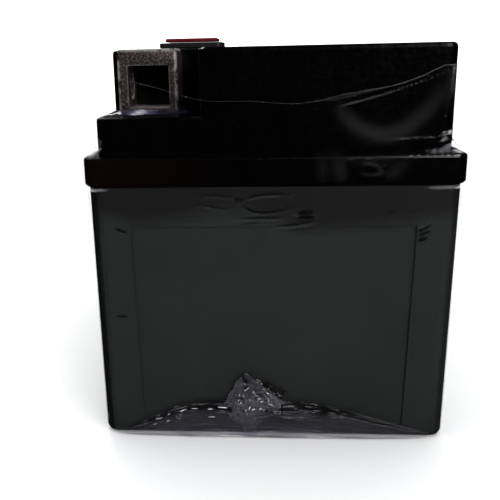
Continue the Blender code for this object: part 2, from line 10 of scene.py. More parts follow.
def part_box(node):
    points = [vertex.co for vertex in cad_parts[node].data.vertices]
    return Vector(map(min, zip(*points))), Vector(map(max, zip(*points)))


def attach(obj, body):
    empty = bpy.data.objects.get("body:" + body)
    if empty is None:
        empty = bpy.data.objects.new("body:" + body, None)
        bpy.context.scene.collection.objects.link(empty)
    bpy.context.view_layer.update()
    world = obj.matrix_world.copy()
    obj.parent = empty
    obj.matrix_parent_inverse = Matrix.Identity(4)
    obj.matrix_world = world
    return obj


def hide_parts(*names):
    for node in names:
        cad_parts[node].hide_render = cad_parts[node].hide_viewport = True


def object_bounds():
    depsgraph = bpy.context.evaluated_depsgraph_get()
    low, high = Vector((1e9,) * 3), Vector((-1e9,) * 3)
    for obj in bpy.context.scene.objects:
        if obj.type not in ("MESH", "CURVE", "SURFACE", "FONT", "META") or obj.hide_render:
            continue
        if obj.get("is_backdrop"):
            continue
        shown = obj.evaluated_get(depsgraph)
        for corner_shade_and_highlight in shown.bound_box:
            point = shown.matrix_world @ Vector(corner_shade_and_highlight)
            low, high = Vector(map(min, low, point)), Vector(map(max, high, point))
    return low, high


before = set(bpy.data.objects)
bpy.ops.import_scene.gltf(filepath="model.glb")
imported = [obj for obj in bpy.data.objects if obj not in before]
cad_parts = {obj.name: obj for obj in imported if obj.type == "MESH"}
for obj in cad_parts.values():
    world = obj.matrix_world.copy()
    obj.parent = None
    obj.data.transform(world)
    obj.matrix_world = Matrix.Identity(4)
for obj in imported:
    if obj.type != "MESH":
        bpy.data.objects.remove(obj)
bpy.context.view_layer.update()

# Camera. It looks at the short end of the battery from a little above the lid, square on
# and close up, so the far cap just shows over the lid.
LENS_MM = 51.38
SENSOR_MM = 36.0
SHIFT = (0.076, 0.024)
NEAREST = 0.01
eye = Vector((0.23488, -0.00160, 0.09256))
forward = Vector((-0.95713, -0.07389, -0.28007)).normalized()
right = Vector((-0.07066, 0.99727, -0.02163)).normalized()
up = right.cross(forward)
camera_data = bpy.data.cameras.new("camera")
camera_data.lens = LENS_MM
camera_data.sensor_width = SENSOR_MM
camera_data.shift_x, camera_data.shift_y = SHIFT
camera_data.clip_start = NEAREST
camera = bpy.data.objects.new("camera", camera_data)
turn = Matrix((right, up, -forward)).transposed()
camera.matrix_world = Matrix.Translation(eye) @ turn.to_4x4()
bpy.context.scene.collection.objects.link(camera)
bpy.context.scene.camera = camera
bpy.context.scene.view_settings.view_transform = "Standard"


# Case. An injection-moulded polypropylene container in dark grey, with a fine eroded
# grain. A band below the lid is painted darker as shade under the flange, and its
# corners are painted dark as shade, the left ones most.
def finish(name, colour, roughness, metallic=0.0, specular=0.5):
    """A new material and its shader."""
    made = bpy.data.materials.new(name)
    made.use_nodes = True
    shader = made.node_tree.nodes["Principled BSDF"]
    shader.inputs["Base Color"].default_value = (*colour, 1.0)
    shader.inputs["Roughness"].default_value = roughness
    shader.inputs["Metallic"].default_value = metallic
    shader.inputs["Specular IOR Level"].default_value = specular
    return made, shader


def add(made, kind, inputs=None, **settings):
    """A new node in a material, with its inputs and settings."""
    new = made.node_tree.nodes.new(kind)
    for key, value in (inputs or {}).items():
        new.inputs[key].default_value = value
    for key, value in settings.items():
        setattr(new, key, value)
    return new


def link(made, source, target):
    """Join two sockets."""
    made.node_tree.links.new(source, target)


def cloudy(made, scale, detail=3.0, rough=0.55, stretch=(1.0, 1.0, 1.0), offset=(0.0, 0.0, 0.0)):
    """Noise on object coordinates, its factor as a socket. Scale is per metre."""
    place = add(made, "ShaderNodeTexCoord")
    mapping = add(made, "ShaderNodeMapping", {"Scale": stretch, "Location": offset})
    cloud = add(
        made, "ShaderNodeTexNoise", {"Scale": scale, "Detail": detail, "Roughness": rough}
    )
    link(made, place.outputs["Object"], mapping.inputs["Vector"])
    link(made, mapping.outputs["Vector"], cloud.inputs["Vector"])
    return cloud.outputs["Fac"]


def spread(made, source, low, high, start=0.3, end=0.7):
    """Map a factor to a range of numbers."""
    reach = add(
        made,
        "ShaderNodeMapRange",
        {"From Min": start, "From Max": end, "To Min": low, "To Max": high},
    )
    link(made, source, reach.inputs["Value"])
    return reach.outputs["Result"]


def shades(made, source, stops):
    """Map a factor to colours. Each stop is a place and a colour."""
    ramp = add(made, "ShaderNodeValToRGB")
    keys = ramp.color_ramp.elements
    while len(keys) < len(stops):
        keys.new(0.5)
    for key, (at, colour) in zip(keys, stops):
        key.position = at
        key.color = (*colour, 1.0)
    link(made, source, ramp.inputs["Fac"])
    return ramp.outputs["Color"]


def bumps(made, source, depth, strength=1.0, under=None):
    """Turn a height factor into a normal. Depth is in metres."""
    bump = add(made, "ShaderNodeBump", {"Distance": depth, "Strength": strength})
    link(made, source, bump.inputs["Height"])
    if under is not None:
        link(made, under, bump.inputs["Normal"])
    return bump.outputs["Normal"]


def carried(node, made):
    """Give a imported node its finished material."""
    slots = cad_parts[node].data.materials
    slots.clear()
    slots.append(made)


def axes_of(made, source):
    """The three numbers of a vector socket."""
    parts = add(made, "ShaderNodeSeparateXYZ")
    link(made, source, parts.inputs["Vector"])
    return parts.outputs


def sum_of(made, operation, first, second, clamp=False):
    """One sum of two sockets, or of a socket and a number."""
    result = add(made, "ShaderNodeMath", operation=operation, use_clamp=clamp)
    for place, value in enumerate((first, second)):
        if isinstance(value, float):
            result.inputs[place].default_value = value
        else:
            link(made, value, result.inputs[place])
    return result.outputs["Value"]


def mixed(made, share, first, second, kind="MIX"):
    """Mix two colours, each a socket or a colour."""
    blend = add(made, "ShaderNodeMix", data_type="RGBA", blend_type=kind)
    for name, value in (("A", first), ("B", second)):
        if isinstance(value, tuple):
            blend.inputs[name].default_value = (*value, 1.0)
        else:
            link(made, value, blend.inputs[name])
    if isinstance(share, float):
        blend.inputs["Factor"].default_value = share
    else:
        link(made, share, blend.inputs["Factor"])
    return blend.outputs["Result"]


BAND_FOOT = 0.0535
BAND_FULL = 0.0570
case_grey, shader = finish("case_grey", (0.021, 0.024, 0.0235), 0.55, specular=0.25)
tone = cloudy(case_grey, 60.0, 4.0)
mottle = shades(
    case_grey, tone, [(0.3, (0.0138, 0.0156, 0.0152)), (0.7, (0.0168, 0.0183, 0.0179))]
)
speck = cloudy(case_grey, 2400.0, 2.0, 0.6)
grain_tone = shades(case_grey, speck, [(0.3, (0.88, 0.88, 0.88)), (0.7, (1.1, 1.1, 1.1))])
mottle = mixed(case_grey, 1.0, mottle, grain_tone, "MULTIPLY")
places = axes_of(case_grey, add(case_grey, "ShaderNodeTexCoord").outputs["Object"])
# Painted shade: a band below the lid, under the flange, is painted darker.
drift = spread(case_grey, cloudy(case_grey, 26.0, 2.0, offset=(2.0, 0.0, 0.0)), -0.003, 0.003)
level = sum_of(case_grey, "ADD", places["Z"], drift)
flange_shade_band = spread(case_grey, level, 0.0, 0.85, BAND_FOOT, BAND_FULL)
mottle = mixed(case_grey, flange_shade_band, mottle, (0.0052, 0.0049, 0.0048))
# Painted shade: the rounded corners, turned away from the light, are painted darker with a dotted
# grain, most on the left side, away from the key light.
facing = axes_of(case_grey, add(case_grey, "ShaderNodeNewGeometry").outputs["Normal"])
turned = sum_of(
    case_grey,
    "MULTIPLY",
    sum_of(case_grey, "ABSOLUTE", facing["X"], 0.0),
    sum_of(case_grey, "ABSOLUTE", facing["Y"], 0.0),
)
corner_shade_and_highlight = spread(case_grey, turned, 0.0, 0.85, 0.12, 0.34)
dotted = spread(case_grey, cloudy(case_grey, 1500.0, 3.0, 0.7), 0.55, 1.0, 0.36, 0.56)
corner_shade_and_highlight = sum_of(case_grey, "MULTIPLY", corner_shade_and_highlight, dotted)
left_side_shade = spread(case_grey, places["Y"], 1.0, 0.35, -0.02, 0.02)
corner_shade_and_highlight = sum_of(case_grey, "MULTIPLY", corner_shade_and_highlight, left_side_shade)
mottle = mixed(case_grey, corner_shade_and_highlight, mottle, (0.0022, 0.0030, 0.0026))
link(case_grey, mottle, shader.inputs["Base Color"])
coarse = cloudy(case_grey, 900.0, 3.0)
link(case_grey, spread(case_grey, coarse, 0.5, 0.66), shader.inputs["Roughness"])
link(case_grey, bumps(case_grey, coarse, 0.00003, 0.4), shader.inputs["Normal"])
carried("case", case_grey)

# Lid. Gloss black polypropylene, heat sealed to the case along its flange. It is smooth
# out of the mould, with faint flow marks, a few hairline rubs and a brown cast at one
# end of the flange.
TINT_FULL_Y = -0.034
TINT_END_Y = -0.010
TINT_TOP = 0.0695
TINT_CLEAR = 0.0705
lid_black, shader = finish("lid_black", (0.0005, 0.0005, 0.0006), 0.2, specular=0.35)
flow = cloudy(lid_black, 35.0, 3.0, stretch=(1.0, 1.0, 2.5))
rubs = cloudy(lid_black, 900.0, 2.0, stretch=(0.15, 1.0, 1.0))
link(lid_black, spread(lid_black, rubs, 0.14, 0.27), shader.inputs["Roughness"])
flowed = bumps(lid_black, flow, 0.0002, 0.35)
link(lid_black, bumps(lid_black, rubs, 0.00001, 0.3, flowed), shader.inputs["Normal"])
dusty = shades(
    lid_black,
    cloudy(lid_black, 220.0, 5.0, 0.7),
    [(0.5, (0.0004, 0.0004, 0.0005)), (0.85, (0.0014, 0.0014, 0.0015))],
)
places = axes_of(lid_black, add(lid_black, "ShaderNodeTexCoord").outputs["Object"])
to_left = spread(lid_black, places["Y"], 1.0, 0.0, TINT_FULL_Y, TINT_END_Y)
on_flange = spread(lid_black, places["Z"], 1.0, 0.0, TINT_TOP, TINT_CLEAR)
warmth = sum_of(lid_black, "MULTIPLY", to_left, on_flange)
brownish = mixed(lid_black, warmth, dusty, (0.0040, 0.0010, 0.0007))
link(lid_black, brownish, shader.inputs["Base Color"])
carried("lid", lid_black)

# Cap strip. A separate moulding of the same black plastic pressed flush into the lid,
# with a rubber ring and a rubber cup valve at each of its plugs.
CELL_COUNT = 6
strip_black, shader = finish("strip_black", (0.004, 0.004, 0.0045), 0.34)
satin = cloudy(strip_black, 1500.0, 3.0)
link(strip_black, spread(strip_black, satin, 0.28, 0.42), shader.inputs["Roughness"])
link(strip_black, bumps(strip_black, satin, 0.00002, 0.4), shader.inputs["Normal"])
carried("cap_strip", strip_black)
ring_black, shader = finish("ring_black", (0.012, 0.012, 0.012), 0.7)
powder = cloudy(ring_black, 2500.0, 4.0)
chalky = shades(ring_black, powder, [(0.35, (0.01, 0.01, 0.01)), (0.8, (0.03, 0.03, 0.028))])
link(ring_black, chalky, shader.inputs["Base Color"])
link(ring_black, bumps(ring_black, powder, 0.00002, 0.5), shader.inputs["Normal"])
valve_grey, shader = finish("valve_grey", (0.05, 0.045, 0.04), 0.75)
bloom = cloudy(valve_grey, 1800.0, 3.0)
waxy = shades(valve_grey, bloom, [(0.3, (0.04, 0.036, 0.032)), (0.75, (0.07, 0.064, 0.058))])
link(valve_grey, waxy, shader.inputs["Base Color"])
link(valve_grey, bumps(valve_grey, bloom, 0.00002, 0.4), shader.inputs["Normal"])
for number in range(1, CELL_COUNT + 1):
    carried(f"seal_ring_{number}", ring_black)
    carried(f"valve_cup_{number}", valve_grey)
for name in ("negative_post_seal", "positive_post_seal"):
    carried(name, ring_black)

# Terminals. Square blocks of cast lead, hollow from end to end for a loose nut, with a
# brown and pink oxide skin that is rubbed bright along its edges. The bright edges and
# the faces that look up also carry a painted highlight.
TERMINAL_BEVEL = 0.00035
BEVEL_STEPS = 2
MERGE_DISTANCE = 0.000005
FLAT_ANGLE = 0.02
SHARP_ANGLE = 0.6
SMOOTH_DEGREES = 38
EDGE_PROBE_RADIUS = 0.0005


def softened(node, name, width, steps=BEVEL_STEPS):
    """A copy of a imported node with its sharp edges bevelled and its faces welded."""
    bm = bmesh.new()
    bm.from_mesh(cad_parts[node].data)
    bmesh.ops.remove_doubles(bm, verts=bm.verts, dist=MERGE_DISTANCE)
    bmesh.ops.dissolve_limit(bm, angle_limit=FLAT_ANGLE, verts=bm.verts, edges=bm.edges)
    paired = [e for e in bm.edges if len(e.link_faces) == 2]
    sharp = [e for e in paired if e.calc_face_angle() > SHARP_ANGLE]
    bmesh.ops.bevel(
        bm,
        geom=sharp,
        offset=width,
        offset_type="OFFSET",
        segments=steps,
        profile=0.5,
        affect="EDGES",
        clamp_overlap=True,
        material=-1,
    )
    bmesh.ops.triangulate(bm, faces=[f for f in bm.faces if len(f.verts) > 4])
    return placed(bm, name)


def placed(bm, name, smooth=True):
    """Make an object from a finished bmesh."""
    mesh = bpy.data.meshes.new(name)
    bm.to_mesh(mesh)
    bm.free()
    if smooth:
        mesh.shade_smooth()
        mesh.set_sharp_from_angle(angle=math.radians(SMOOTH_DEGREES))
    made = bpy.data.objects.new(name, mesh)
    bpy.context.scene.collection.objects.link(made)
    return made


lead, shader = finish("oxidised_lead", (0.03, 0.024, 0.024), 0.5, metallic=0.35)
skin = cloudy(lead, 1900.0, 4.0, 0.8)
blotch = cloudy(lead, 150.0, 4.0, 0.6, offset=(0.3, 0.1, 0.0))
oxide = shades(
    lead,
    skin,
    [
        (0.41, (0.003, 0.0020, 0.0020)),
        (0.48, (0.015, 0.0105, 0.0105)),
        (0.54, (0.055, 0.041, 0.041)),
        (0.62, (0.17, 0.142, 0.142)),
    ],
)
rosy = shades(lead, blotch, [(0.35, (0.7, 0.62, 0.62)), (0.65, (1.2, 0.98, 0.95))])
tinted = mixed(lead, 1.0, oxide, rosy, "MULTIPLY")
# Rubbed wear and painted highlight: lighter along the edges and corners, and painted lighter on
# the faces that look up, where the light falls.
edge_probe = add(lead, "ShaderNodeBevel", {"Radius": EDGE_PROBE_RADIUS}, samples=6)
plain = add(lead, "ShaderNodeNewGeometry")
bend = add(lead, "ShaderNodeVectorMath", operation="DOT_PRODUCT")
link(lead, edge_probe.outputs["Normal"], bend.inputs[0])
link(lead, plain.outputs["True Normal"], bend.inputs[1])
wear_and_highlight = spread(lead, bend.outputs["Value"], 0.4, 0.0, 0.86, 0.99)
facing = axes_of(lead, plain.outputs["Normal"])
painted_top_light = spread(lead, facing["Z"], 0.0, 1.0, 0.35, 0.75)
corner_shade_and_highlight = sum_of(
    lead,
    "MULTIPLY",
    sum_of(lead, "ABSOLUTE", facing["X"], 0.0),
    sum_of(lead, "ABSOLUTE", facing["Y"], 0.0),
)
corner_shade_and_highlight = spread(lead, corner_shade_and_highlight, 0.0, 0.9, 0.15, 0.4)
wear_and_highlight = sum_of(lead, "MAXIMUM", wear_and_highlight, sum_of(lead, "MAXIMUM", painted_top_light, corner_shade_and_highlight))
broken = spread(lead, cloudy(lead, 520.0, 4.0, 0.7), 0.0, 1.0, 0.4, 0.52)
patchy_wear_and_highlight = sum_of(lead, "MULTIPLY", wear_and_highlight, broken)
link(lead, mixed(lead, patchy_wear_and_highlight, tinted, (0.34, 0.33, 0.30)), shader.inputs["Base Color"])
link(lead, spread(lead, skin, 0.62, 0.36), shader.inputs["Roughness"])
pitted = bumps(lead, skin, 0.00012, 0.7)
link(lead, bumps(lead, blotch, 0.0002, 0.4, pitted), shader.inputs["Normal"])
for pole in ("negative", "positive"):
    block = softened(f"{pole}_terminal", f"{pole}_lead_block", TERMINAL_BEVEL)
    block.data.materials.append(lead)
    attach(block, "battery")
    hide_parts(f"{pole}_terminal")
    carried(f"{pole}_terminal", lead)

# Red cap. A soft red moulding that marks the positive terminal, glued to a black base
# plate whose skirt drops round the lead block. Both lift off together.
cap_red, shader = finish("cap_red", (0.2, 0.002, 0.01), 0.4, specular=0.25)
skinned = cloudy(cap_red, 1400.0, 3.0)
reds = shades(
    cap_red,
    cloudy(cap_red, 160.0, 3.0),
    [(0.3, (0.10, 0.001, 0.005)), (0.7, (0.15, 0.002, 0.008))],
)
link(cap_red, reds, shader.inputs["Base Color"])
link(cap_red, spread(cap_red, skinned, 0.3, 0.46), shader.inputs["Roughness"])
link(cap_red, bumps(cap_red, skinned, 0.00003, 0.4), shader.inputs["Normal"])
carried("positive_cap", cap_red)
cap_black, shader = finish("cap_black", (0.006, 0.006, 0.006), 0.45)
matt = cloudy(cap_black, 1100.0, 3.0)
link(cap_black, spread(cap_black, matt, 0.38, 0.56), shader.inputs["Roughness"])
link(cap_black, bumps(cap_black, matt, 0.00003, 0.4), shader.inputs["Normal"])
carried("cap_base_plate", cap_black)

# Cells. Inside the case: pasted lead plates in grey and brown, white glass mat folded
# between them, and cast lead posts and welds that join them in series.
grey_paste, shader = finish("grey_paste", (0.17, 0.18, 0.19), 0.7)
pores = cloudy(grey_paste, 1600.0, 5.0, 0.7)
spongy = shades(grey_paste, pores, [(0.3, (0.11, 0.12, 0.13)), (0.7, (0.22, 0.23, 0.24))])
link(grey_paste, spongy, shader.inputs["Base Color"])
link(grey_paste, bumps(grey_paste, pores, 0.0001, 0.6), shader.inputs["Normal"])
brown_paste, shader = finish("brown_paste", (0.11, 0.042, 0.028), 0.85)
pores = cloudy(brown_paste, 1600.0, 5.0, 0.7)
earthy = shades(brown_paste, pores, [(0.3, (0.07, 0.026, 0.018)), (0.7, (0.15, 0.06, 0.04))])
link(brown_paste, earthy, shader.inputs["Base Color"])
link(brown_paste, bumps(brown_paste, pores, 0.0001, 0.6), shader.inputs["Normal"])
glass_wool, shader = finish("glass_wool", (0.82, 0.82, 0.79), 0.95)
fibres = cloudy(glass_wool, 2600.0, 5.0, 0.75, stretch=(1.0, 1.0, 0.35))
felted = shades(glass_wool, fibres, [(0.3, (0.72, 0.72, 0.69)), (0.7, (0.88, 0.88, 0.86))])
link(glass_wool, felted, shader.inputs["Base Color"])
link(glass_wool, bumps(glass_wool, fibres, 0.0001, 0.7), shader.inputs["Normal"])
cast_lead, shader = finish("cast_lead", (0.2, 0.2, 0.22), 0.45, metallic=0.9)
frosted = cloudy(cast_lead, 900.0, 4.0, 0.65)
dull = shades(cast_lead, frosted, [(0.3, (0.13, 0.13, 0.145)), (0.7, (0.27, 0.27, 0.29))])
link(cast_lead, dull, shader.inputs["Base Color"])
link(cast_lead, spread(cast_lead, frosted, 0.36, 0.6), shader.inputs["Roughness"])
link(cast_lead, bumps(cast_lead, frosted, 0.00006, 0.5), shader.inputs["Normal"])
for number in range(1, CELL_COUNT + 1):
    carried(f"cell_{number}_negative_plates", grey_paste)
    carried(f"cell_{number}_positive_plates", brown_paste)
    carried(f"cell_{number}_glass_mat", glass_wool)
for number in range(1, CELL_COUNT):
    carried(f"cell_weld_{number}_{number + 1}", cast_lead)
for name in ("negative_post", "positive_post"):
    carried(name, cast_lead)

# Shrink film. A flat tube of clear film shrunk round the case and lid with hot air. It
# bridges the steps of the lid, puckers near the flange and ends in a wavy free edge.
MM = 0.001
CASE_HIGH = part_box("case")[1]
LID_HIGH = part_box("lid")[1]
FLANGE_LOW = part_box("lid")[0].z
FLANGE_TOP = FLANGE_LOW + 6.6 * MM
TIER_X = LID_HIGH.x - 3.0 * MM
TIER_Y = LID_HIGH.y - 3.0 * MM
TIER_TOP = FLANGE_TOP + 8.8 * MM
CLEAR = 0.2 * MM
FILM_RADIUS = 3.4 * MM
FILM_FOOT = 0.9 * MM
TUCK_HEIGHT = 1.3 * MM
TUCK_MM = 0.9
TAPER_TOP = 0.054
EDGE_HEIGHT = 89.0 * MM
SAG_NEAR_MM = 7.2
SAG_MM = 5.0
SEAM_DISTANCE = 0.000004
MID_HEIGHT = 0.05
FILM_ROWS = 214
NEAR_COLUMNS = 224
LONG_COLUMNS = 72
FAR_COLUMNS = 44
CORNER_COLUMNS = 7
FACING = 0.7


def around():
    """The film's columns in order round the battery: centre shares and outward normals."""
    columns = []
    sides = (
        ((1, 0), (0, 1), NEAR_COLUMNS),
        ((0, 1), (-1, 0), LONG_COLUMNS),
        ((-1, 0), (0, -1), FAR_COLUMNS),
        ((0, -1), (1, 0), LONG_COLUMNS),
    )
    for out, along, count in sides:
        for k in range(count):
            share = -1 + 2 * k / (count - 1)
            place = (out[0] + along[0] * share, out[1] + along[1] * share)
            columns.append((place[0], place[1], out[0], out[1]))
        for k in range(1, CORNER_COLUMNS):
            angle = math.pi / 2 * k / CORNER_COLUMNS
            nx = out[0] * math.cos(angle) + along[0] * math.sin(angle)
            ny = out[1] * math.cos(angle) + along[1] * math.sin(angle)
            columns.append((out[0] + along[0], out[1] + along[1], nx, ny))
    return np.array(columns)


def film_halves(z, bridge):
    """Half length of the film's section at each height, with how high it bridges the flange."""
    foot = np.clip((z - TUCK_HEIGHT) / TUCK_HEIGHT, -1.0, 0.0) * TUCK_MM * MM
    heights = [0.0, TAPER_TOP, FLANGE_LOW - 0.001, FLANGE_LOW + 0.0006, FLANGE_TOP]
    case_low = CASE_HIGH.x - 0.4 * MM
    spans = [case_low, CASE_HIGH.x - 0.05 * MM, LID_HIGH.x - 0.35 * MM, LID_HIGH.x, LID_HIGH.x]
    half = np.interp(z, heights, spans)
    lean = np.clip((z - FLANGE_TOP) / bridge, 0.0, 1.0)
    lean = 1 - (1 - lean) ** 1.6
    half = np.where(z > FLANGE_TOP, LID_HIGH.x + (TIER_X - LID_HIGH.x) * lean, half)
    return half + foot + CLEAR


def free_edge(x, y):
    """Height of the free upper edge of the film at a place round the lid."""
    end_face = TIER_X - 0.001
    across = np.where(np.abs(x) > end_face, y / TIER_Y, x / TIER_X)
    sag = 1 - np.clip(np.abs(across), 0, 1) ** 2
    depth = np.where(x > end_face, SAG_NEAR_MM, SAG_MM) * MM
    low = EDGE_HEIGHT - depth * sag
    waver = 0.45 * np.sin(x * 71.0 + 1.0) + 0.35 * np.sin(y * 260.0 + x * 40.0)
    return low + waver * MM


def bend_line(points, count=36):
    """A smooth line through a few places, as an array."""
    places = np.array(points, float)
    at = np.linspace(0, 1, len(places))
    share = np.linspace(0, 1, count)
    fit = np.polyfit(at, places, min(len(places) - 1, 3))
    return np.stack([np.polyval(fit[:, k], share) for k in range(2)], axis=1)


def crease(along, z, points, width, height, fade=0.5):
    """Height of one crease over a side of the film, in millimetres."""
    line = bend_line(points)
    nearest = np.full(along.shape, 1e9)
    at = np.zeros(along.shape)
    for k, (a, b) in enumerate(line):
        away = (along - a) ** 2 + (z - b) ** 2
        closer = away < nearest
        nearest = np.where(closer, away, nearest)
        at = np.where(closer, k / (len(line) - 1), at)
    taper = np.sin(np.pi * np.clip(at, 0.02, 0.98)) ** fade
    return height * taper * np.exp(-nearest / (2 * width * width))


# Creases on the near end, each a few places along it (millimetres across and up), its
# width, its height, and its haze and painted highlight, or below zero its painted shade.
NEAR_CREASES = (
    # The first is a wide soft crescent of painted reflection over the lid.
    (((15, 81), (16.2, 78), (21, 75.2), (27, 75), (32, 78), (39.4, 87.8)), 1.25, 0.22, 0.028),
    (((8.4, 82.2), (18, 83.2), (27.8, 85.8), (34, 87.2)), 0.16, 0.12, 0.08),
    (((15, 80.7), (19.3, 81.9), (27, 84), (39.3, 88.4)), 0.16, 0.14, 0.1),
    (((-8.2, 60.5), (-7.4, 60.5), (-6.6, 60.3)), 0.22, 0.1, -0.8),
    (((-5.4, 60.8), (-2, 61.7), (4.6, 61.8)), 0.16, 0.12, -0.5),
    (((-5.4, 60.2), (-2, 61.1), (4.6, 61.2)), 0.2, 0.12, 0.05),
    (((-6.4, 59.2), (-4.6, 57.9), (-1, 57.5), (5.2, 58.9)), 0.17, 0.14, -0.7),
    (((-6.0, 58.4), (-4.2, 57.1), (-1, 56.9), (5.4, 58.1)), 0.2, 0.12, 0.05),
    (((-7.3, 56.1), (-3, 56.2), (2.1, 56.3)), 0.16, 0.1, -0.5),
    (((-7.8, 55.4), (-3, 55.5), (4, 55.6)), 0.22, 0.1, 0.04),
    (((-7.8, 54.7), (-5, 54.9), (-2.3, 54.9)), 0.15, 0.08, -0.35),
    (((-18.1, 59.7), (-14, 59), (-11.4, 58.4), (-9.1, 58.9)), 0.16, 0.1, -0.35),
    (((-18.1, 59.1), (-14, 58.4), (-11.4, 57.8), (-9.1, 58.3)), 0.2, 0.1, 0.035),
    (((-16.3, 61.7), (-12, 61.6), (-8.4, 61)), 0.18, 0.1, -0.3),
    (((-16.3, 61), (-12, 60.9), (-8.4, 60.3)), 0.25, 0.1, 0.03),
    (((6.2, 57.2), (7.7, 57.5), (9.3, 57.4)), 0.22, 0.1, -0.9),
    (((6.2, 56), (7.7, 56.3), (9.4, 56.1)), 0.22, 0.1, -0.95),
    (((4.4, 56.7), (7.7, 56.8), (10, 56.8)), 0.18, 0.1, 0.08),
    (((1.1, 54.3), (5.5, 54.6), (9.7, 55.4)), 0.16, 0.1, -0.45),
    (((0.1, 53.6), (5.5, 54), (10.7, 54.8)), 0.2, 0.1, 0.05),
    (((2.1, 53.1), (6.5, 53.3), (9.9, 54)), 0.14, 0.08, -0.25),
    (((26.2, 57.8), (27, 58), (27.8, 57.8)), 0.16, 0.1, 0.02),
    (((26.3, 56.2), (27, 56.5), (27.9, 56.4)), 0.16, 0.1, 0.02),
    (((26.2, 57.2), (27, 57.4), (27.8, 57.2)), 0.16, 0.08, -0.4),
    (((33.1, 52.8), (34.4, 53.3), (36.2, 54.5)), 0.18, 0.12, -0.7),
    (((33.1, 53.4), (34.4, 53.9), (36.2, 55)), 0.2, 0.1, 0.06),
    (((33.6, 51.8), (34.6, 52.3), (36, 52.8)), 0.18, 0.12, -0.7),
    (((33.6, 52.4), (34.6, 52.8), (36, 53.4)), 0.18, 0.1, 0.06),
    (((33.4, 50.7), (34.2, 51), (35.4, 51.2)), 0.2, 0.12, -0.75),
    (((33.4, 51.3), (34.2, 51.6), (35.4, 51.8)), 0.16, 0.1, 0.06),
    (((-36.6, 53.7), (-35.2, 53.2), (-33.9, 52.6)), 0.15, 0.12, -0.85),
    (((-36.4, 53.2), (-35.2, 52.8), (-34, 52.2)), 0.15, 0.1, 0.04),
    (((-37.4, 31.85), (-36, 31.7), (-34.9, 31.7)), 0.16, 0.06, -0.6),
    (((10.8, 69.8), (11.2, 67), (11.6, 64.8)), 0.9, 0.12, 0.012),
    (((14.2, 69.8), (15, 67), (16, 64.8)), 1.1, 0.12, 0.018),
    (((30.4, 69.2), (27.4, 67), (25.4, 64.6)), 0.9, 0.12, 0.014),
    (((16.1, 69.3), (20, 69.6), (27, 69)), 0.14, 0.1, 0.05),
    (((17.7, 68.4), (21.6, 68.6), (27.1, 67.4)), 0.14, 0.1, 0.04),
    (((19.5, 67.5), (22, 68.2), (24.2, 67), (22, 66.3)), 0.16, 0.1, 0.04),
    (((19, 67), (22, 66), (26, 66.8)), 0.14, 0.1, 0.03),
    (((-41.4, 71.2), (-40.6, 72.2), (-40.2, 73.4)), 0.36, 0.3, 0.6),
    (((-41.6, 74.4), (-41, 76.4), (-40.6, 78.6)), 0.4, 0.2, 0.06),
    (((36.6, 73.2), (38.6, 74.4), (40.6, 74.6)), 0.2, 0.4, 0.3),
    (((37.6, 71.4), (39.6, 72.4), (41.4, 72.6)), 0.22, 0.4, 0.6),
    (((34, 70.8), (38, 71), (42, 70.8)), 0.16, 0.2, 0.2),
    (((36, 72.4), (38.6, 73.4), (41, 73.6)), 0.26, 0.2, -0.8),
    (((-43, 63.2), (-41, 63), (-38, 62.9)), 0.18, 0.12, 0.5),
    (((35, 62.9), (39, 63), (43, 63.2)), 0.2, 0.12, 0.35),
)
columns = around()
column_count = len(columns)
bm = bmesh.new()
bmesh.ops.create_grid(bm, x_segments=column_count, y_segments=FILM_ROWS, size=0.5)
grid = np.array([v.co for v in bm.verts])
which = np.rint((grid[:, 0] + 0.5) * column_count).astype(int) % column_count
rise = grid[:, 1] + 0.5
# More of the rows lie where the film puckers under the flange and near its free edge.
row_shares = (0.0, 0.1, 0.15, 0.19, 0.24, 0.66, 0.74, 1.0)
row_places = (0.0, 0.14, 0.345, 0.365, 0.58, 0.755, 0.85, 1.0)
rise = np.interp(rise, row_shares, row_places)
cx, cy, nx, ny = (columns[which, k] for k in range(4))
top = free_edge(cx * TIER_X, cy * TIER_Y)
z = FILM_FOOT + (top - FILM_FOOT) * rise
bridge = np.where(nx > FACING, 3.5 + 1.1 * np.clip(cy, -1, 1), 3.4) * MM
half_x = film_halves(z, bridge)
half_y = half_x - (LID_HIGH.x - LID_HIGH.y)
x = cx * (half_x - FILM_RADIUS) + nx * FILM_RADIUS
y = cy * (half_y - FILM_RADIUS) + ny * FILM_RADIUS
x = np.where(np.abs(cx) < 1, cx * (half_x - FILM_RADIUS), x)
y = np.where(np.abs(cy) < 1, cy * (half_y - FILM_RADIUS), y)
out = np.zeros(len(x))
cloud = np.zeros(len(x))
painted_shade = np.zeros(len(x))
near = nx > FACING
across = y / MM
height = z / MM
for points, width, lift, haze_and_highlight in NEAR_CREASES:
    made = np.where(near, crease(across, height, points, width, lift), 0.0)
    out += made
    cloud += made / lift * max(haze_and_highlight, 0.0)
    painted_shade += made / lift * max(-haze_and_highlight, 0.0)
# Small seeded creases on the other three sides, in the bands where film puckers.
PUCKER_BANDS = ((53, 61), (64.6, 69.4), (1.5, 9.0), (79.0, 85.5))
rng = random.Random(7)
for out_x, out_y in ((-1, 0), (0, 1), (0, -1)):
    side = (nx * out_x + ny * out_y) > FACING
    along = (y if out_x else x) / MM
    reach = 38 if out_x else 70
    for number in range(26 if out_x else 40):
        band = rng.choice(PUCKER_BANDS)
        a = rng.uniform(-reach, reach)
        b = rng.uniform(*band)
        length = rng.uniform(3.0, 13.0)
        bow = rng.uniform(-1.3, 1.3)
        points = ((a, b), (a + length / 2, b + bow), (a + length, b))
        lift = rng.uniform(0.03, 0.08)
        made = crease(along, height, points, rng.uniform(0.3, 0.6), lift)
        made = np.where(side, made, 0.0)
        out += made
        share = made / lift
        # Half of them, at random, get a faint painted highlight and the rest a painted shade.
        if rng.random() < 0.5:
            cloud += share * rng.uniform(0.02, 0.06)
        else:
            painted_shade += share * rng.uniform(0.15, 0.4)
out *= MM
